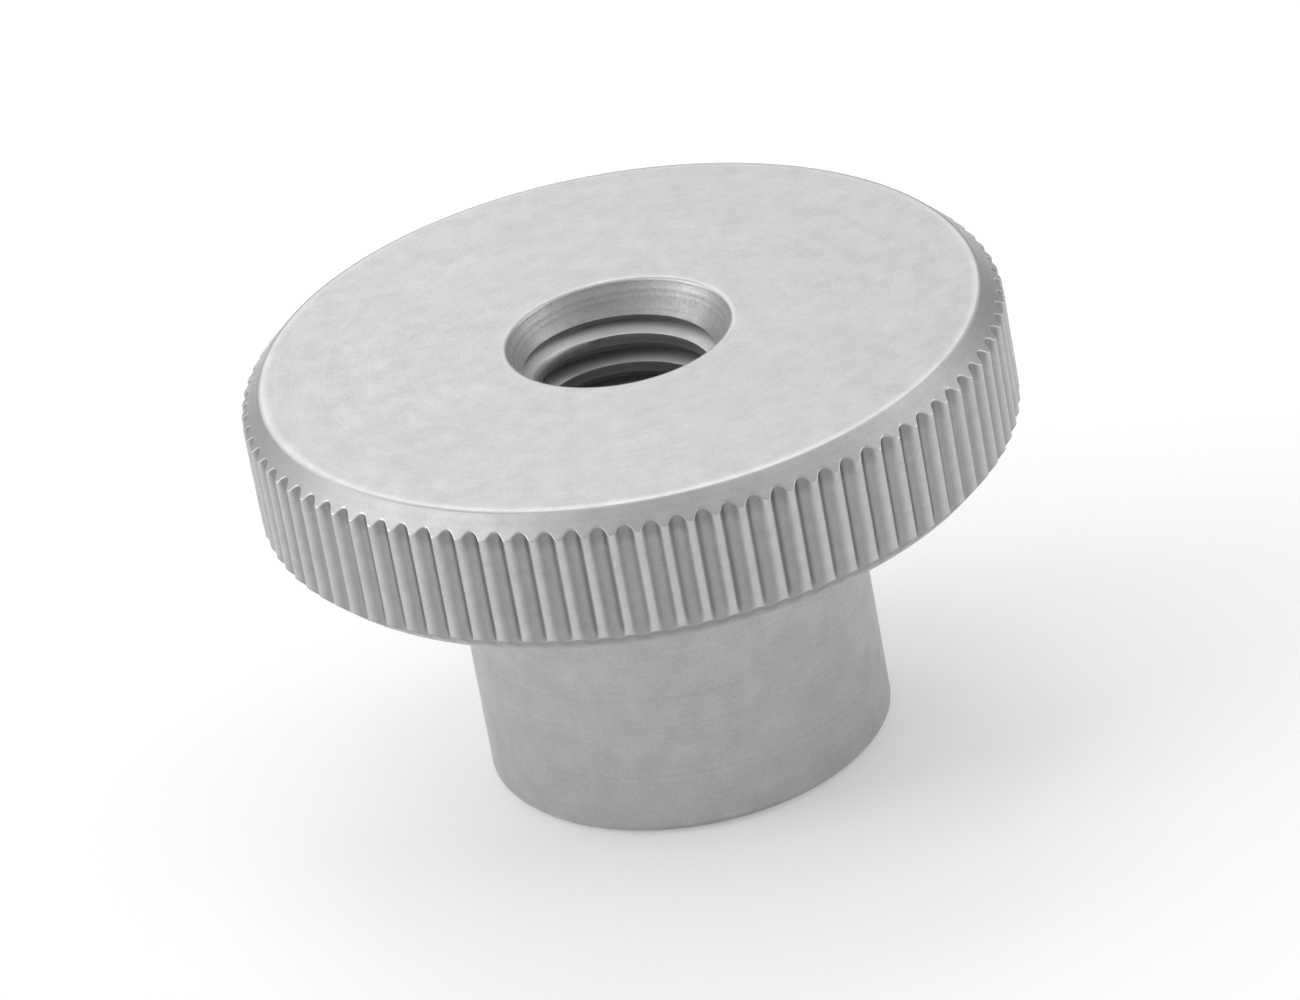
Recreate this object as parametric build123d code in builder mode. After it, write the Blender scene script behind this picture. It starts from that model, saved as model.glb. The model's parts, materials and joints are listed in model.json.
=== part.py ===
from build123d import *
import math
import os

# Knurled thumb nut for an M8 screw: one turned piece, a knurled disc head on a round hub.
# Millimetres. The axis is Z, the hub stands on Z = 0 and the head is at the top.

# Turned body
head_diameter = 30.0
head_thickness = 6.0
head_chamfer = 0.85
hub_diameter = 16.0
overall_height = 18.0
hub_foot_chamfer = 0.35
hub_root_radius = 0.3

# Hole for the M8 x 1.25 thread, at its core diameter, countersunk from both ends
thread_core_diameter = 6.8
countersink_diameter = 8.9
countersink_angle = 60.0

# Straight knurl: V grooves along the rim of the head, parallel to the axis
knurl_pitch = 1.0
knurl_depth = 0.3
knurl_groove_angle = 105.0

# Derived sizes
head_radius = head_diameter / 2
hub_radius = hub_diameter / 2
head_underside = overall_height - head_thickness
# Rolling raises the ridges, so the teeth are spaced on the smaller blank the knurl is rolled on
knurl_blank_diameter = head_diameter - knurl_pitch / 2
knurl_teeth = round(math.pi * knurl_blank_diameter / knurl_pitch)
# The cutting triangle of a groove runs past the rim by this much, so that it opens cleanly
knurl_overrun = knurl_depth
knurl_groove_half_width = (knurl_depth + knurl_overrun) * math.tan(math.radians(knurl_groove_angle / 2))

with BuildPart() as knurled_nut:
    # Hub, turned the full height of the nut
    with BuildSketch(Plane.XY):
        Circle(hub_radius)
    extrude(amount=overall_height)

    # Disc head round its upper end
    with BuildSketch(Plane.XY.offset(head_underside)):
        Circle(head_radius)
    extrude(amount=head_thickness)

    # Small radius that the tool's nose leaves in the corner between hub and head
    round_edges = knurled_nut.edges().filter_by(GeomType.CIRCLE)
    hub_edges = round_edges.group_by(SortBy.RADIUS)[0].sort_by(Axis.Z)
    fillet(hub_edges[-1], radius=hub_root_radius)

    # Bevels on both rims of the head, and a slighter one round the hub's foot
    round_edges = knurled_nut.edges().filter_by(GeomType.CIRCLE)
    head_rims = round_edges.group_by(SortBy.RADIUS)[-1]
    chamfer(head_rims, length=head_chamfer)
    foot_edge = knurled_nut.edges().filter_by(GeomType.CIRCLE).sort_by(Axis.Z)[0]
    chamfer(foot_edge, length=hub_foot_chamfer)

    # Through hole, countersunk from the top face and from the foot
    with Locations(Plane.XY.offset(overall_height), Plane.XY.rotated((180, 0, 0))):
        CounterSinkHole(
            radius=thread_core_diameter / 2,
            counter_sink_radius=countersink_diameter / 2,
            counter_sink_angle=countersink_angle,
        )

    # Knurl: each groove runs the full height of the rim and out onto both bevels
    with BuildSketch(Plane.XY.offset(head_underside)):
        with PolarLocations(head_radius, knurl_teeth):
            Polygon(
                (-knurl_depth, 0),
                (knurl_overrun, -knurl_groove_half_width),
                (knurl_overrun, knurl_groove_half_width),
                align=None,
            )
    extrude(amount=head_thickness, mode=Mode.SUBTRACT)

knurled_nut.part.label = "knurled_nut"

os.makedirs("parts", exist_ok=True)
export_step(knurled_nut.part, "parts/knurled_nut.step")
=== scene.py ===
import json
import math

import bmesh
import bpy
import numpy as np
from mathutils import Matrix, Vector


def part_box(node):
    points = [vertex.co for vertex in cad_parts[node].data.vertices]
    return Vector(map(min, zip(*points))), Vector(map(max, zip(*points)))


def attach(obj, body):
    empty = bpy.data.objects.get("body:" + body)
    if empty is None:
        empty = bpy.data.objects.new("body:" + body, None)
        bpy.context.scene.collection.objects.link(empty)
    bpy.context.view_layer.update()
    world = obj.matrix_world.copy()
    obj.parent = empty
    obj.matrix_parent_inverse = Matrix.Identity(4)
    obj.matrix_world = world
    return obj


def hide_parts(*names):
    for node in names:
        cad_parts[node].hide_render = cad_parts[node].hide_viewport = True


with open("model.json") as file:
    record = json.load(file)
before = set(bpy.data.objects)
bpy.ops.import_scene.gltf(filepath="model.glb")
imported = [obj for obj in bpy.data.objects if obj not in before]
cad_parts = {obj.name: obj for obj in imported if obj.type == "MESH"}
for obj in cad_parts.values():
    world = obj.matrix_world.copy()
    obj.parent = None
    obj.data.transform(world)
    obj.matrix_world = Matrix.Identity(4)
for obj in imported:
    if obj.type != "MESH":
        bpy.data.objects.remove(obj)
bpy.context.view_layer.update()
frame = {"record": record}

# Sizes are in millimetres, and turned to metres where a mesh, a lamp or the camera is made
millimetre = 0.001
micron = 1e-6
cadNut = "knurled_nut"
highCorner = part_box(cadNut)[1]
topHeight = highCorner.z / millimetre
headRadius = max(highCorner.x, highCorner.y) / millimetre
threadMount = next(m for m in frame["record"]["mounts"] if m["name"] == "thread")
coreRadius = threadMount["dims"]["r_mm"]
print("frame loaded, with a head of radius", round(headRadius, 2), "mm")

# The nut is one piece, but a different tool finished each part of it. The numbers are places in steelLooks
faced, rolled, turned, countersunk, tapped = range(5)

# Each row of points also has a wear, 0 to 1, painted as rubbed wear and highlight, and a hollowness, painted
# as shade
nutForm = {
    # head and hub
    "headThickness": 6.0,
    "headBevel": 0.85,
    "hubRadius": 8.0,
    "hubRootRadius": 0.3,    # left by the nose of the turning tool
    "footBevel": 0.35,
    # how far back each sharp edge is rubbed, further across the flat faces
    "faceEdgeCut": 0.25,
    "bevelEdgeCut": 0.08,
    "rimEdgeCut": 0.04,
    "footEdgeCut": 0.10,
    "mouthFaceCut": 0.14,
    "mouthConeCut": 0.07,
    # knurl
    "teeth": 93,
    "grooveDepth": 0.29,
    "grooveWidth": 0.76,
    "bottomPower": 2.2,      # 2 is a parabola, and more is flatter at the bottom and steeper at the sides
    "ridgeRound": 0.10,
    "unevenDepth": 0.015,    # one groove is rolled a little deeper than the next
    "unevenSpacing": 0.010,  # the same for its place, in teeth
    "seed": 11,
    # hole, M8 thread and its two countersinks
    "mouthRadius": 4.45,
    "coneHalfAngle": 30.0,
    "plainMouth": 0.3,       # depth of each mouth above which no thread reaches
    "threadPitch": 1.25,
    "threadRootRadius": 4.0,
    "threadRootFlat": 0.156, # an eighth of the pitch
    "threadHalfAngle": 30.0,
    "threadTurn": -0.04,     # where round the nut the thread starts, in radians
    "lipHeight": 0.006,      # burr left along the edges of the thread's crests
    # wear, shown as a brighter colour: rubbed wear with a painted highlight
    "edgeWearAndHighlight": 0.35,        # wear and painted highlight at the two ends of a rubbed edge, where its middle is 1
    "ridgeWearAndHighlight": 0.25,       # the wheel burnishes the ridges, most at their two ends, and a painted highlight adds to it
    "ridgeEndWearAndHighlight": 0.5,
    "ridgeReach": 0.08,      # how far down its side a ridge is burnished
    "runoutWearAndHighlight": 0.5,       # at least this much wear and painted highlight where the wheel ran out on the upper bevel
    "undersideWearAndHighlight": 0.15,   # share of their wear and painted highlight that the edges underneath and round the foot keep
    "footWearAndHighlight": 0.15,
    # hollowness, shown as painted shade
    "grooveFloorShade": 0.5,      # painted shade of a groove down its length, where it is 1 close under the upper bevel
    "runoutShade": 0.5,     # painted shade on the bevel's edge itself
    "shadedEndLength": 0.8,       # how far down from the bevel the painted shade at a groove's upper end reaches
    "fullShadeGain": 1.4,       # a groove gets its full painted shade from 1 / 1.4 of its depth down
    "lowerBevelShade": 1.0, # painted shade on this bevel, which faces down
    # painted shade in the hub's root, where it meets the head
    "hubRootShade": 0.25,
    # wear with a painted highlight, and painted shade, for each line along the thread
    "threadLines": {
        "land": (0.5, 0.1), "lip": (0.9, 0.0), "flank": (0.3, 0.2), "root": (0.0, 1.0), "middle": (0.0, 0.3),
    },
    # spacing of the mesh's rows and columns
    "coarseStep": 3,         # the hub, the thread and the mouths have every third column
    "fineMargin": 0.6,       # ring of fine columns kept on the flat faces beside the rim
    "coarseMargin": 1.2,     # where the coarse columns begin
    "guardReach": 1.6,       # rows this many cuts away from an edge keep the shading of its faces flat
    "rootSteps": 4,
    "lipGuard": 0.03,        # the same beside a thread's lip, on its land and as a share of its flank
    "flankGuard": 0.1,
    "landGap": 0.04,         # the land's middle row keeps this far from its lips
    "landOverlap": 0.01,     # a cone's edge this far past a lip still counts as on the land
    "fadeDepth": 0.15,       # a thread shallower than this shows only a share of its wear, painted highlight and painted shade
    "snap": 0.006,           # rows nearer than this to the end of the thread are put on it
    "coneTolerance": 0.009,  # faces nearer than this to a cone count as countersunk
    "coreTolerance": 0.001,
    "mergeDistance": 0.0003,
    "sharpAngle": 32,        # edges that bend more than this, in degrees, are shaded sharp
}

# Columns of one tooth, from ridge to ridge, crowded where the groove's sides meet the ridges
toothPhases = np.array([0, 0.045, 0.085, 0.13, 0.19, 0.28, 0.39, 0.5, 0.61, 0.72, 0.81, 0.87, 0.915, 0.955])


def station(radius, height, count, wearAndHighlight=0.0, paintedShade=0.0):
    # one row of the nut: a radius, a height, a wear with painted highlight and a painted shade for each of
    # its columns
    parts = [np.broadcast_to(part, count) for part in (radius, height, wearAndHighlight, paintedShade)]
    return np.column_stack(parts).astype(float)


def bentCorner(before, corner, after, cuts, steps=2):
    # replaces a corner by a parabola, (1 - t)^2 start + 2t(1 - t) corner + t^2 end, whose ends are its two
    # cuts away from the corner. Its wear and painted highlight follow a half sine, and a guard row stands
    # further off on each side
    def along(towards, distance):
        # corner + unit vector to the next row * distance, with that row's painted shade and no wear or
        # highlight
        run = towards[:, :2] - corner[:, :2]
        spot = corner[:, :2] + run / np.linalg.norm(run, axis=1, keepdims=True) * distance
        return np.column_stack([spot, np.zeros(len(spot)), towards[:, 3]])

    start, end = along(before, cuts[0]), along(after, cuts[1])
    edgeWearAndHighlight, reach = nutForm["edgeWearAndHighlight"], nutForm["guardReach"]
    rows = [along(before, cuts[0] * reach)]
    for t in np.linspace(0, 1, steps + 1):
        row = (1 - t) ** 2 * start + 2 * t * (1 - t) * corner + t ** 2 * end
        row[:, 2] = edgeWearAndHighlight + (1 - edgeWearAndHighlight) * math.sin(math.pi * t)
        rows.append(row)
    return rows + [along(after, cuts[1] * reach)]


def rimAngles():
    # angle of a column = (tooth + phase + shift * sin^2(pi phase) - 1/2) * 2 pi / teeth, where the shift is
    # uneven from tooth to tooth. It is full at a groove's middle and nothing at the ridges, which stay joined
    random = np.random.default_rng(nutForm["seed"])
    teeth = nutForm["teeth"]
    shift = random.uniform(-1, 1, teeth) * nutForm["unevenSpacing"]
    lean = shift[:, None] * np.sin(math.pi * toothPhases) ** 2
    return ((np.arange(teeth)[:, None] + toothPhases + lean - 0.5) * (2 * math.pi / teeth)).ravel()


def grooveCuts():
    # v = depth * (|x / half width| ^ power - 1) is a round-bottomed groove whose sides lean up to 49 degrees.
    # The cut is its soft minimum with the plain rim, (v - sqrt(v^2 + round^2)) / 2, moved so that the
    # ridges' tops stand at the full diameter
    random = np.random.default_rng(nutForm["seed"] + 1)
    uneven = random.uniform(-1, 1, nutForm["teeth"])[:, None] * nutForm["unevenDepth"]
    depth, half = nutForm["grooveDepth"], nutForm["grooveWidth"] / 2
    x = np.abs(toothPhases - 0.5) * 2 * math.pi * headRadius / nutForm["teeth"]
    v = depth * ((x / half) ** nutForm["bottomPower"] - 1)
    v = v - uneven * np.clip(1 - x / half, 0, 1)
    cut = 0.5 * (v - np.hypot(v, nutForm["ridgeRound"]))
    return (cut - cut.max()).ravel()


def rimRows(count):
    # The head's rim from the top face to the underside. Its radius is the head's plus the groove's cut, and
    # both bevels lean 45 degrees, so a deeper column meets them nearer to the faces: the groove runs out
    cut = grooveCuts()
    rimRadius = headRadius + cut
    edgeRadius = headRadius - nutForm["headBevel"]
    underside = topHeight - nutForm["headThickness"]
    drop = rimRadius - edgeRadius
    # painted shade down the grooves, darkest close under the upper bevel; the ridges' wear carries a painted
    # highlight
    groove = np.clip(-nutForm["fullShadeGain"] * cut / nutForm["grooveDepth"], 0, 1)
    floor = groove * nutForm["grooveFloorShade"]
    ridge = np.clip(1 + cut / nutForm["ridgeReach"], 0, 1)
    burnishedAndHighlit = ridge * nutForm["ridgeWearAndHighlight"]

    topInner = station(edgeRadius - nutForm["fineMargin"], topHeight, count)
    topEdge = station(edgeRadius, topHeight, count)
    bevelFoot = station(rimRadius, topHeight - drop, count)
    knurlTop = station(rimRadius, topHeight - drop, count, 0, groove * nutForm["runoutShade"])
    shadedGrooveEnd = station(rimRadius, topHeight - drop - nutForm["shadedEndLength"], count, burnishedAndHighlit, floor)
    knurlFoot = station(rimRadius, underside + drop, count, 0, floor)
    lowBevelTop = station(rimRadius, underside + drop, count)
    lowBevelShaded = station(edgeRadius, underside, count, 0, nutForm["lowerBevelShade"])
    lowEdge = station(edgeRadius, underside, count)
    lowInner = station(edgeRadius - nutForm["fineMargin"], underside, count)

    # a bend takes the painted shade of the rows it lies between, so each is given those that suit it
    edgeCuts = (nutForm["faceEdgeCut"], nutForm["bevelEdgeCut"])
    rimCuts = [nutForm["rimEdgeCut"]] * 2
    knurlBelow = station(rimRadius, underside + drop, count, 0, groove)
    knurlAbove = station(rimRadius, topHeight - drop, count, 0, floor)
    over = bentCorner(topInner, topEdge, bevelFoot, edgeCuts, 3)
    upper = bentCorner(topEdge, knurlTop, knurlBelow, rimCuts)
    lower = bentCorner(knurlAbove, knurlFoot, lowBevelShaded, rimCuts)
    under = bentCorner(lowBevelTop, lowEdge, lowInner, edgeCuts[::-1])

    # Ridges are burnished all down the rim, with a painted highlight, and the upper ends of the grooves have
    # a small rolled lip, brightened by wear and a painted highlight. Both bends here are a guard row, three
    # curved rows and a guard row
    for row in upper[1:4]:
        row[:, 2] = np.maximum(row[:, 2], nutForm["runoutWearAndHighlight"])
    for row in upper[4:] + lower[:2]:
        row[:, 2] = burnishedAndHighlit
    for row in lower[2:4]:
        row[:, 2] = ridge * nutForm["ridgeEndWearAndHighlight"]
    for row in under:
        row[:, 2] *= nutForm["undersideWearAndHighlight"]
    rows = [topInner] + over + upper + [shadedGrooveEnd] + lower + under + [lowInner]
    # the knurl's finish lies between the two bends' outermost curved rows
    kinds = [faced] * (len(over) + 2) + [rolled] * (len(upper) + len(lower) - 2)
    return rows, kinds + [faced] * (len(rows) - 1 - len(kinds))


def coneRadius(depth):
    # the countersink's radius falls with the depth below its own mouth, by the half angle's tangent
    return nutForm["mouthRadius"] - depth * math.tan(math.radians(nutForm["coneHalfAngle"]))


def hubRows(count):
    # From the underside round the hub's root, down its side, across the foot and in to the lower mouth. The
    # root is a quarter circle: r = hub + root (1 - sin t), z = underside - root (1 - cos t)
    underside = topHeight - nutForm["headThickness"]
    root, hubRadius, foot = nutForm["hubRootRadius"], nutForm["hubRadius"], nutForm["footBevel"]
    rows = [station(headRadius - nutForm["headBevel"] - nutForm["coarseMargin"], underside, count)]
    for t in np.linspace(0, math.pi / 2, nutForm["rootSteps"] + 1):
        radius = hubRadius + root - root * math.sin(t)
        height = underside - root + root * math.cos(t)
        # painted shade round the root, most at its middle
        rows.append(station(radius, height, count, 0, nutForm["hubRootShade"] * math.sin(2 * t)))
    kinds = [faced] + [turned] * nutForm["rootSteps"]
    inside = station(coneRadius(nutForm["plainMouth"]), nutForm["plainMouth"], count)
    corners = [
        rows[-1],
        station(hubRadius, foot, count),
        station(hubRadius - foot, 0, count),
        station(nutForm["mouthRadius"], 0, count),
        inside,
    ]
    # cuts of each corner, the wear and painted highlight left on it, the finish that leads up to it and its
    # own
    footCuts = [nutForm["footEdgeCut"]] * 2
    mouthCuts = (nutForm["mouthFaceCut"], nutForm["mouthConeCut"])
    bends = (
        (footCuts, nutForm["footWearAndHighlight"], turned, turned),
        (footCuts, nutForm["footWearAndHighlight"], turned, faced),
        (mouthCuts, 1, faced, faced),
    )
    for k, (cuts, wear, leading, own) in enumerate(bends, 1):
        bend = bentCorner(corners[k - 1], corners[k], corners[k + 1], cuts)
        for row in bend:
            row[:, 2] *= wear
        rows += bend
        kinds += [leading] + [own] * (len(bend) - 1)
    return rows + [inside], kinds + [countersunk]


def mouthRows(count):
    # the upper mouth, straight up the cone from just inside it, and out across the flat face
    inside = station(coneRadius(nutForm["plainMouth"]), topHeight - nutForm["plainMouth"], count)
    edge = station(nutForm["mouthRadius"], topHeight, count)
    outer = station(headRadius - nutForm["headBevel"] - nutForm["coarseMargin"], topHeight, count)
    bend = bentCorner(inside, edge, outer, (nutForm["mouthConeCut"], nutForm["mouthFaceCut"]))
    return [inside] + bend + [outer], [countersunk] + [faced] * len(bend)


def landRadius(height):
    # the hole without its thread: the core, or a countersink where that is wider
    return np.maximum(coreRadius, coneRadius(np.minimum(height, topHeight - height)))


def threadRows(angles):
    # The thread is cut through both countersinks. A row keeps its place in the thread's section and climbs
    # one pitch in a turn: z = turn * pitch + pitch * angle / 2 pi + its place. The radius there is the
    # largest of the core's, the cones' and the groove's, which is the root's less distance / tan(half angle)
    count = len(angles)
    pitch, rootRadius = nutForm["threadPitch"], nutForm["threadRootRadius"]
    halfFlat = nutForm["threadRootFlat"] / 2
    flank = math.tan(math.radians(nutForm["threadHalfAngle"]))
    slope = math.tan(math.radians(nutForm["coneHalfAngle"]))
    low, high = nutForm["plainMouth"], topHeight - nutForm["plainMouth"]
    coneDepth = (nutForm["mouthRadius"] - coreRadius) / slope
    gap, overlap, snap = nutForm["landGap"], nutForm["landOverlap"], nutForm["snap"]
    lipGuard, flankGuard = nutForm["lipGuard"], nutForm["flankGuard"]

    def crestHeight(rootHeight, way):
        # root height + way * the shorter run up the flank: (root - core) * tan(half angle) to the core, or
        # depth / (1 / tan(half angle) + outward * tan(cone's half angle)) to a cone
        toCore = (rootRadius - coreRadius) * flank
        outward = np.sign(rootHeight - topHeight / 2) * way
        depth = rootRadius - coneRadius(np.minimum(rootHeight, topHeight - rootHeight))
        toCone = np.maximum(depth, 0) / (1 / flank + outward * slope)
        return rootHeight + way * np.minimum(toCore, toCone)

    climb = pitch * (angles + nutForm["threadTurn"]) / (2 * math.pi)
    rows = []
    # turns past both ends of the thread fall together on those ends, and are merged later
    firstTurn, lastTurn = -2, int(topHeight / pitch) + 3
    for turn in range(firstTurn, lastTurn + 1):
        centre = turn * pitch + climb
        below, above = centre - halfFlat, centre + halfFlat
        lowCrest, highCrest = crestHeight(below, -1), crestHeight(above, 1)
        # the land's middle row keeps to the line where a cone meets the core, wherever that crosses the land
        coneEdge = np.where(centre < topHeight / 2, coneDepth, topHeight - coneDepth)
        nextCrest = crestHeight(below + pitch, -1)
        crossed = (coneEdge > highCrest - overlap) & (coneEdge < nextCrest + overlap)
        middle = np.where(crossed, np.clip(coneEdge, highCrest + gap, nextCrest - gap), centre + pitch / 2)
        # wear, highlight and painted shade come in with the groove's depth, and the land's own painted shade
        # fades up a cone
        cutBelow, cutAbove = ((rootRadius - landRadius(h)) / nutForm["fadeDepth"] for h in (below, above))
        onCore = 1 - (landRadius(middle) - coreRadius) / nutForm["fadeDepth"]
        # each line has a height, a name, and the share of its wear, highlight and painted shade that shows
        lines = (
            (lowCrest - lipGuard, "land", cutBelow),
            (lowCrest, "lip", cutBelow),
            (lowCrest + flankGuard * (below - lowCrest), "flank", cutBelow),
            (below, "root", cutBelow),
            (above, "root", cutAbove),
            (highCrest - flankGuard * (highCrest - above), "flank", cutAbove),
            (highCrest, "lip", cutAbove),
            (highCrest + lipGuard, "land", cutAbove),
            (middle, "middle", onCore),
        )
        for height, name, share in lines:
            height = np.where(height < low + snap, low, height)
            height = np.where(height > high - snap, high, height)
            land = landRadius(height)
            distance = np.minimum(np.abs(height - below), np.abs(height - above))
            radius = {
                "land": land,
                "middle": land,
                "lip": land + np.where(land < rootRadius, nutForm["lipHeight"], 0),
                "flank": np.maximum(land, rootRadius - distance / flank),
                "root": np.maximum(land, rootRadius),
            }[name]
            radius = np.where((height <= low) | (height >= high), land, radius)
            wearAndHighlight, paintedShade = nutForm["threadLines"][name]
            share = np.clip(share, 0, 1)
            rows.append(station(radius, height, count, wearAndHighlight * share, paintedShade * share))

    # a face is countersunk where its four corners lie on a cone wider than the core
    block = np.stack(rows)
    radius, height = block[..., 0], block[..., 1]
    cone = coneRadius(np.minimum(height, topHeight - height))
    nearCone = np.abs(radius - cone) < nutForm["coneTolerance"]
    onCone = nearCone & (cone > coreRadius - nutForm["coreTolerance"])
    wholly = onCone[:-1, :-1] & onCone[1:, :-1] & onCone[1:, 1:] & onCone[:-1, 1:]
    return rows, np.where(wholly, countersunk, tapped)


def gridFaces(rowCount, columnCount, first, closed):
    # quads (i, j) (i+1, j) (i+1, j+1) (i, j+1); a closed grid joins its last column to its first
    columns = columnCount if closed else columnCount - 1
    i, j = np.meshgrid(np.arange(rowCount - 1), np.arange(columns), indexing="ij")
    following = (j + 1) % columnCount
    quads = np.stack([i * columnCount + j, (i + 1) * columnCount + j,
                      (i + 1) * columnCount + following, i * columnCount + following], axis=-1)
    return quads.reshape(-1, 4) + first


def makeNut():
    # four grids of rows and columns, (x, y, z) = (r cos a, r sin a, z), joined into one closed skin
    step = nutForm["coarseStep"]
    fine = rimAngles()
    coarse = fine[::step]
    wrapped = np.append(coarse, coarse[0] + 2 * math.pi)
    grids = [
        (*rimRows(len(fine)), fine, True),
        (*hubRows(len(coarse)), coarse, True),
        (*threadRows(wrapped), wrapped, False),
        (*mouthRows(len(coarse)), coarse, True),
    ]
    points, polygons, kinds, firsts = [], [], [], []
    start = 0
    for rows, rowKinds, angles, closed in grids:
        block = np.stack(rows)
        radius, height, wearAndHighlight, paintedShade = np.moveaxis(block, -1, 0)
        spots = [radius * np.cos(angles), radius * np.sin(angles), height, wearAndHighlight, paintedShade]
        faces = gridFaces(len(rows), len(angles), start, closed)
        points.append(np.stack(spots, axis=-1).reshape(-1, len(spots)))
        polygons += faces.tolist()
        # a finish is given for every row, or for every face
        rowKinds = np.array(rowKinds)
        facesInRow = len(faces) // (len(rows) - 1)
        kinds += (np.repeat(rowKinds, facesInRow) if rowKinds.ndim == 1 else rowKinds.ravel()).tolist()
        firsts.append(start)
        start += len(rows) * len(angles)

    def flatRing(outerFirst, innerFirst, up):
        # a flat ring of faces, each from two coarse columns out to the fine columns that they span
        k = np.arange(len(coarse))
        outer = [(k * step + s) % len(fine) + outerFirst for s in range(step + 1)]
        loop = [k + innerFirst] + outer + [(k + 1) % len(coarse) + innerFirst]
        return np.stack(loop if up else loop[::-1], axis=-1).tolist()

    rimRowCount, mouthRowCount = len(grids[0][0]), len(grids[3][0])
    topRing = flatRing(firsts[0], firsts[3] + (mouthRowCount - 1) * len(coarse), True)
    lowRing = flatRing(firsts[0] + (rimRowCount - 1) * len(fine), firsts[1], False)
    polygons += topRing + lowRing
    kinds += [faced] * (len(topRing) + len(lowRing))

    points = np.concatenate(points)
    mesh = bpy.data.meshes.new("thumbNut")
    mesh.from_pydata((points[:, :3] * millimetre).tolist(), [], polygons)
    mesh.polygons.foreach_set("material_index", np.array(kinds, np.int32))
    for column, name in ((3, "wearAndHighlight"), (4, "paintedShade")):
        layer = mesh.attributes.new(name, "FLOAT", "POINT")
        layer.data.foreach_set("value", points[:, column].astype(np.float32))
    # the grids share their end rows, and the thread's spare rows lie on each other
    work = bmesh.new()
    work.from_mesh(mesh)
    bmesh.ops.remove_doubles(work, verts=work.verts, dist=nutForm["mergeDistance"] * millimetre)
    work.to_mesh(mesh)
    work.free()
    mesh.shade_smooth()
    mesh.set_sharp_from_angle(angle=math.radians(nutForm["sharpAngle"]))
    piece = bpy.data.objects.new("thumbNut", mesh)
    bpy.context.scene.collection.objects.link(piece)
    return piece


def hexToLinear(code):
    # sRGB hex to linear light: c / 12.92 below the toe, ((c + 0.055) / 1.055) ^ 2.4 above it
    values = [int(code[i:i + 2], 16) / 255 for i in (1, 3, 5)]
    return [v / 12.92 if v <= 0.04045 else ((v + 0.055) / 1.055) ** 2.4 for v in values] + [1.0]


def addNode(tree, kind, settings=None, inputs=None):
    # adds one node; an input that is given a socket is linked to it, and any other is set
    made = tree.nodes.new(kind)
    for name, value in (settings or {}).items():
        setattr(made, name, value)
    for name, value in (inputs or {}).items():
        if isinstance(value, bpy.types.NodeSocket):
            tree.links.new(value, made.inputs[name])
        else:
            made.inputs[name].default_value = value
    return made


# Every finish is stainless steel, tumbled to a satin after it was machined: a soft sheen with no mirror in
# it, faint clouds up to a millimetre across, a fine grain, and what the tool left showing through. The real
# grain is about 0.03 mm wide and the tool's feed about 0.05 mm a turn. Both would be too fine to show, so
# grainSize and toolSpacing draw them 2 to 5 times as coarse. Sizes are in millimetres, depths in thousandths
# of one.
# In each finish, one colour is painted shade for grooves, roots and hollows, and one is rubbed wear with a
# painted highlight for edges and ridges
steelLooks = {
    "stainlessSteelFaced": {         # faced on the lathe: even and pale, with rings round the axis
        "light": "#C3C3C3", "dark": "#B5B5B5", "wearAndHighlight": "#CECECE", "paintedShade": "#868686",
        "toolAlong": "radius", "toolSpacing": 0.16, "toolShare": 0.25, "toolDepth": 0.5,
        "cloudSize": 0.8, "grainSize": 0.11, "grainDepth": 0.9,
        "roughSmooth": 0.36, "roughMatt": 0.46, "wornRoughness": -0.08, "shadeStrength": 0.6,
    },
    "stainlessSteelRolledKnurl": {   # pressed by the knurling wheel: ridges worn and with a painted highlight, grooves darker by painted shade
        "light": "#BDBDBD", "dark": "#B1B1B1", "wearAndHighlight": "#CECECE", "paintedShade": "#787878",
        "toolAlong": "height", "toolSpacing": 0.22, "toolShare": 0.2, "toolDepth": 0.5,
        "cloudSize": 0.5, "grainSize": 0.10, "grainDepth": 1.2,
        "roughSmooth": 0.34, "roughMatt": 0.48, "wornRoughness": -0.06, "shadeStrength": 0.75,
    },
    "stainlessSteelTurned": {        # turned on the lathe: rings up the axis, clouded by the tumbling
        "light": "#BDBDBD", "dark": "#ABABAB", "wearAndHighlight": "#D6D6D6", "paintedShade": "#848484",
        "toolAlong": "height", "toolSpacing": 0.18, "toolShare": 0.25, "toolDepth": 0.5,
        "cloudSize": 1.1, "grainSize": 0.11, "grainDepth": 1.1,
        "roughSmooth": 0.38, "roughMatt": 0.50, "wornRoughness": -0.06, "shadeStrength": 0.8,
    },
    "stainlessSteelCountersunk": {   # cut by a countersink: coarse rings that the tumbling hardly reached
        "light": "#C4C4C4", "dark": "#A8A8A8", "wearAndHighlight": "#DADADA", "paintedShade": "#6A6A6A",
        "toolAlong": "height", "toolSpacing": 0.22, "toolShare": 0.65, "toolDepth": 1.6,
        "cloudSize": 0.6, "grainSize": 0.11, "grainDepth": 1.2,
        "roughSmooth": 0.46, "roughMatt": 0.62, "wornRoughness": -0.06, "shadeStrength": 0.8,
    },
    "stainlessSteelTapped": {        # cut by a tap: bright lips, worn and with a painted highlight, and painted shade down the flanks and in the roots
        "light": "#D0D0D0", "dark": "#C0C0C0", "wearAndHighlight": "#DADADA", "paintedShade": "#B4B4B4",
        "toolAlong": "height", "toolSpacing": 0.10, "toolShare": 0.4, "toolDepth": 0.8,
        "cloudSize": 0.8, "grainSize": 0.09, "grainDepth": 1.0,
        "roughSmooth": 0.36, "roughMatt": 0.52, "wornRoughness": -0.04, "shadeStrength": 1.0,
    },
}

# What all five have alike
steelMix = {
    "grainShare": 0.38,              # of the tone, where the clouds and the tool's rings have the rest
    "toneRange": (0.3, 0.7),         # noise that counts as darkest and as lightest
    "patchRange": (0.35, 0.6),       # clouds over which the rubbing goes from least to full
    "patchLeast": 0.75,
    "shadeFull": 0.8,
}
colourA, colourB, colourResult = 6, 7, 2    # places of a Mix node's colour sockets


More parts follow.
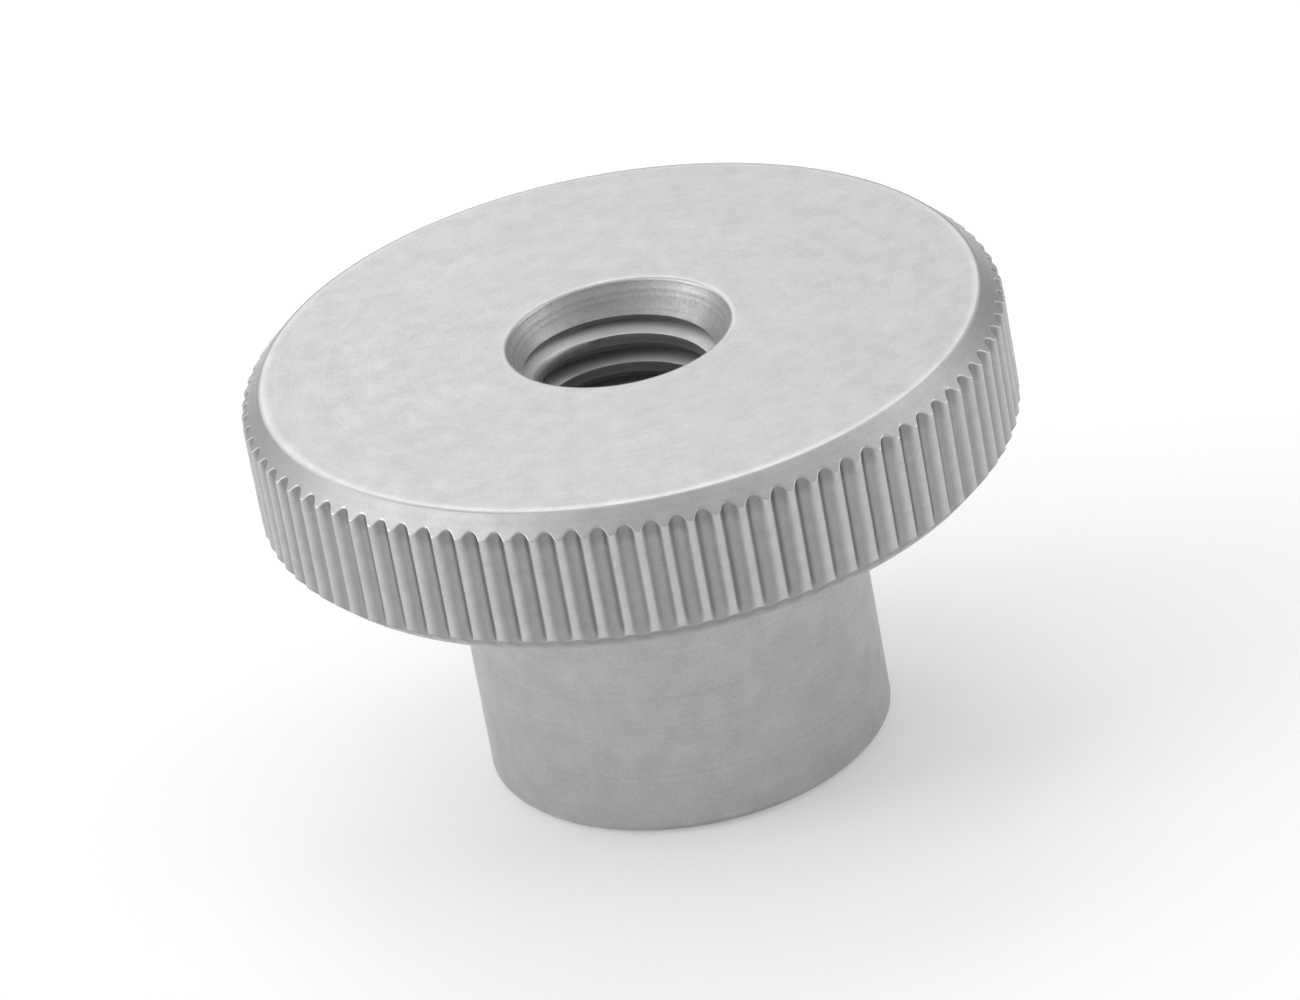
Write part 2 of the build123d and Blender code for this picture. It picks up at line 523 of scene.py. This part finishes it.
def satinSteel(name, look):
    # colour = dark to light by the tone, then towards painted shade, then towards wear with a painted
    # highlight, each by its own share;
    # roughness = matt to smooth by the same tone, and smoother where worn
    material = bpy.data.materials.new(name)
    material.use_nodes = True
    tree = material.node_tree
    shader = tree.nodes["Principled BSDF"]
    shader.inputs["Metallic"].default_value = 1.0

    coordinates = addNode(tree, "ShaderNodeTexCoord")
    inMillimetres = addNode(tree, "ShaderNodeVectorMath", {"operation": "SCALE"},
                            {0: coordinates.outputs["Object"], "Scale": 1 / millimetre}).outputs["Vector"]
    apart = addNode(tree, "ShaderNodeSeparateXYZ", None, {0: inMillimetres})
    if look["toolAlong"] == "radius":
        flat = addNode(tree, "ShaderNodeCombineXYZ", None, {"X": apart.outputs["X"], "Y": apart.outputs["Y"]})
        along = addNode(tree, "ShaderNodeVectorMath", {"operation": "LENGTH"},
                        {0: flat.outputs["Vector"]}).outputs["Value"]
    else:
        along = apart.outputs["Z"]

    tool = addNode(tree, "ShaderNodeTexNoise", {"noise_dimensions": "1D"},
                   {"W": along, "Scale": 1 / look["toolSpacing"], "Detail": 2.0}).outputs["Fac"]
    cloud = addNode(tree, "ShaderNodeTexNoise", {"noise_dimensions": "3D"},
                    {"Vector": inMillimetres, "Scale": 1 / look["cloudSize"], "Detail": 3.0}).outputs["Fac"]
    grain = addNode(tree, "ShaderNodeTexNoise", {"noise_dimensions": "3D"},
                    {"Vector": inMillimetres, "Scale": 1 / look["grainSize"], "Detail": 1.0}).outputs["Fac"]

    # the tone is cloud and tool rings, with the grain over them
    coarseTone = addNode(tree, "ShaderNodeMix", {"data_type": "FLOAT"},
                         {"Factor": look["toolShare"], "A": cloud, "B": tool}).outputs["Result"]
    rawTone = addNode(tree, "ShaderNodeMix", {"data_type": "FLOAT"},
                      {"Factor": steelMix["grainShare"], "A": coarseTone, "B": grain}).outputs["Result"]
    darkest, lightest = steelMix["toneRange"]
    tone = addNode(tree, "ShaderNodeMapRange", None,
                   {"Value": rawTone, "From Min": darkest, "From Max": lightest}).outputs["Result"]

    # rubbing is patchy, so the clouds break up the worn edges and their painted highlight
    wearAndHighlight = addNode(tree, "ShaderNodeAttribute", {"attribute_name": "wearAndHighlight"}).outputs["Fac"]
    patchStart, patchEnd = steelMix["patchRange"]
    patchy = addNode(tree, "ShaderNodeMapRange", None,
                     {"Value": cloud, "From Min": patchStart, "From Max": patchEnd,
                      "To Min": steelMix["patchLeast"]}).outputs["Result"]
    rubbedAndHighlit = addNode(tree, "ShaderNodeMath", {"operation": "MULTIPLY"}, {0: wearAndHighlight, 1: patchy}).outputs["Value"]
    # painted shade darkens a hollow by a smooth step, so that the side nearest its edge stays bright
    paintedShade = addNode(tree, "ShaderNodeAttribute", {"attribute_name": "paintedShade"}).outputs["Fac"]
    shaded = addNode(tree, "ShaderNodeMapRange", {"interpolation_type": "SMOOTHSTEP"},
                     {"Value": paintedShade, "From Min": 0.0, "From Max": steelMix["shadeFull"],
                      "To Max": look["shadeStrength"]}).outputs["Result"]

    colour = hexToLinear(look["dark"])
    for share, tint in ((tone, "light"), (shaded, "paintedShade"), (rubbedAndHighlit, "wearAndHighlight")):
        mixed = addNode(tree, "ShaderNodeMix", {"data_type": "RGBA"},
                        {"Factor": share, colourA: colour, colourB: hexToLinear(look[tint])})
        colour = mixed.outputs[colourResult]
    tree.links.new(colour, shader.inputs["Base Color"])

    matt = addNode(tree, "ShaderNodeMapRange", None,
                   {"Value": tone, "To Min": look["roughMatt"],
                    "To Max": look["roughSmooth"]}).outputs["Result"]
    rough = addNode(tree, "ShaderNodeMath", {"operation": "MULTIPLY_ADD"},
                    {0: rubbedAndHighlit, 1: look["wornRoughness"], 2: matt}).outputs["Value"]
    tree.links.new(rough, shader.inputs["Roughness"])

    grainBump = addNode(tree, "ShaderNodeBump", None,
                        {"Height": grain, "Distance": look["grainDepth"] * micron})
    toolBump = addNode(tree, "ShaderNodeBump", None,
                       {"Height": tool, "Distance": look["toolDepth"] * micron,
                        "Normal": grainBump.outputs["Normal"]})
    tree.links.new(toolBump.outputs["Normal"], shader.inputs["Normal"])
    return material


nut = makeNut()
print("nut turned, knurled and tapped, with", len(nut.data.vertices), "vertices")
for name, look in steelLooks.items():
    nut.data.materials.append(satinSteel(name, look))
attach(nut, "root")
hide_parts(cadNut)
print("steel finished in", len(steelLooks), "ways")


# A floor that carries on past the view, lit like the nut. The camera and the metal see it a little paler
studio = {
    "floorSize": 3.0,           # metres
    "floorDrop": 0.00001,       # metres; just below the foot, so that the two never lie in one plane
    "floorColour": "#F8F8F8",
    "floorLift": 0.18,
    "worldLevel": 0.22,
    "lampAim": 0.6,             # the lamps face the axis at this share of the nut's height
}

# Soft boxes: azimuth and elevation in degrees, seen from the nut, then how far off and how wide in metres,
# and how bright, where 1 is white
lamps = {
    "backBox": (90, 30, 0.45, 0.26, 1.12),
    "backLeftBox": (128, 30, 0.45, 0.26, 1.11),
    "backRightBox": (52, 30, 0.45, 0.26, 0.41),
    "archBox": (90, 57, 0.45, 0.20, 1.28),
    "archLeftBox": (138, 57, 0.45, 0.20, 0.46),
    "archRightBox": (42, 57, 0.45, 0.20, 0.62),
    "leftBox": (175, 34, 0.45, 0.30, 1.28),
    "rightBox": (10, 34, 0.45, 0.30, 0.94),
    "overBox": (110, 82, 0.45, 0.30, 0.50),
    "frontLeftBox": (-145, 60, 0.45, 0.20, 0.88),
    "frontBox": (-90, 62, 0.45, 0.20, 0.61),
    "frontRightBox": (-35, 60, 0.45, 0.20, 0.91),
    "sideLeftBox": (184, 12, 0.40, 0.18, 2.92),
    "sideRightBox": (-6, 12, 0.40, 0.18, 1.64),
    "lowFrontLeftBox": (-135, 15, 0.45, 0.26, 0.50),
    "lowFrontBox": (-90, 15, 0.45, 0.26, 0.50),
    "lowFrontRightBox": (-45, 15, 0.45, 0.26, 0.50),
    "nearLeftBox": (215, 42, 0.11, 0.05, 1.04),
    "nearBackBox": (105, 30, 0.12, 0.05, 0.25),
}


def makeFloor():
    # one square, (x, y) = plus or minus half its size, in matt white
    half, drop = studio["floorSize"] / 2, -studio["floorDrop"]
    mesh = bpy.data.meshes.new("floor")
    corners = [(-half, -half, drop), (half, -half, drop), (half, half, drop), (-half, half, drop)]
    mesh.from_pydata(corners, [], [(0, 1, 2, 3)])
    floor = bpy.data.objects.new("floor", mesh)
    bpy.context.scene.collection.objects.link(floor)
    material = bpy.data.materials.new("mattWhiteSweep")
    material.use_nodes = True
    tree = material.node_tree
    tree.nodes.remove(tree.nodes["Principled BSDF"])
    paper = addNode(tree, "ShaderNodeBsdfDiffuse", None, {"Color": hexToLinear(studio["floorColour"])})
    # the lift is added to what the lamps give, so the nut's shadow stays
    ray = addNode(tree, "ShaderNodeLightPath")
    seen = ray.outputs["Is Camera Ray"]
    for kind in ("Is Glossy Ray", "Is Transmission Ray"):
        seen = addNode(tree, "ShaderNodeMath", {"operation": "MAXIMUM"},
                       {0: seen, 1: ray.outputs[kind]}).outputs["Value"]
    strength = addNode(tree, "ShaderNodeMath", {"operation": "MULTIPLY"},
                       {0: seen, 1: studio["floorLift"]}).outputs["Value"]
    lift = addNode(tree, "ShaderNodeEmission", None, {"Strength": strength})
    both = addNode(tree, "ShaderNodeAddShader", None, {0: paper.outputs["BSDF"], 1: lift.outputs["Emission"]})
    tree.links.new(both.outputs["Shader"], tree.nodes["Material Output"].inputs["Surface"])
    mesh.materials.append(material)


def makeLight():
    # lamps stand on spheres round the nut and face it; power = brightness * pi * width^2 for a square one
    world = bpy.data.worlds.new("studioRoom")
    bpy.context.scene.world = world
    world.use_nodes = True
    background = world.node_tree.nodes["Background"]
    background.inputs["Color"].default_value = (1, 1, 1, 1)
    background.inputs["Strength"].default_value = studio["worldLevel"]
    target = Vector((0, 0, topHeight * millimetre * studio["lampAim"]))
    for name, (azimuth, elevation, distance, width, level) in lamps.items():
        a, e = math.radians(azimuth), math.radians(elevation)
        towards = Vector((math.cos(a) * math.cos(e), math.sin(a) * math.cos(e), math.sin(e)))
        light = bpy.data.lights.new(name, "AREA")
        light.shape = "SQUARE"
        light.size = width
        light.energy = level * math.pi * width ** 2
        lamp = bpy.data.objects.new(name, light)
        lamp.location = target + towards * distance
        lamp.rotation_euler = towards.to_track_quat("Z", "Y").to_euler()
        bpy.context.scene.collection.objects.link(lamp)


makeFloor()
makeLight()
print("floor laid and", len(lamps), "lamps set")

# The camera's angles are in degrees, its lens in millimetres and its lengths in head radii
view = {
    "azimuth": 1.54,
    "elevation": 27.73,
    "roll": 10.61,
    "distance": 24.498,
    "lens": 259.6,
    "aimHeight": 0.6,
    "right": 0.0151,    # how far the nut stands right of the middle, and above it
    "up": -0.0863,
}


def makeCamera():
    # stands back from the aim along azimuth and elevation, then turns by the roll: right = cos(roll) level -
    # sin(roll) upright, up = sin(roll) level + cos(roll) upright
    azimuth, elevation, roll = (math.radians(view[k]) for k in ("azimuth", "elevation", "roll"))
    back = Vector((math.sin(azimuth) * math.cos(elevation), -math.cos(azimuth) * math.cos(elevation),
                   math.sin(elevation)))
    level = Vector((math.cos(azimuth), math.sin(azimuth), 0))
    upright = back.cross(level)
    right = math.cos(roll) * level - math.sin(roll) * upright
    up = math.sin(roll) * level + math.cos(roll) * upright
    unit = headRadius * millimetre
    place = Vector((0, 0, view["aimHeight"] * unit)) + back * view["distance"] * unit
    place -= right * view["right"] * unit + up * view["up"] * unit
    lens = bpy.data.cameras.new("camera")
    lens.lens = view["lens"]
    camera = bpy.data.objects.new("camera", lens)
    camera.matrix_world = Matrix.Translation(place) @ Matrix((right, up, back)).transposed().to_4x4()
    bpy.context.scene.collection.objects.link(camera)
    bpy.context.scene.camera = camera


makeCamera()
bpy.context.scene.view_settings.view_transform = "Standard"
print("camera placed")
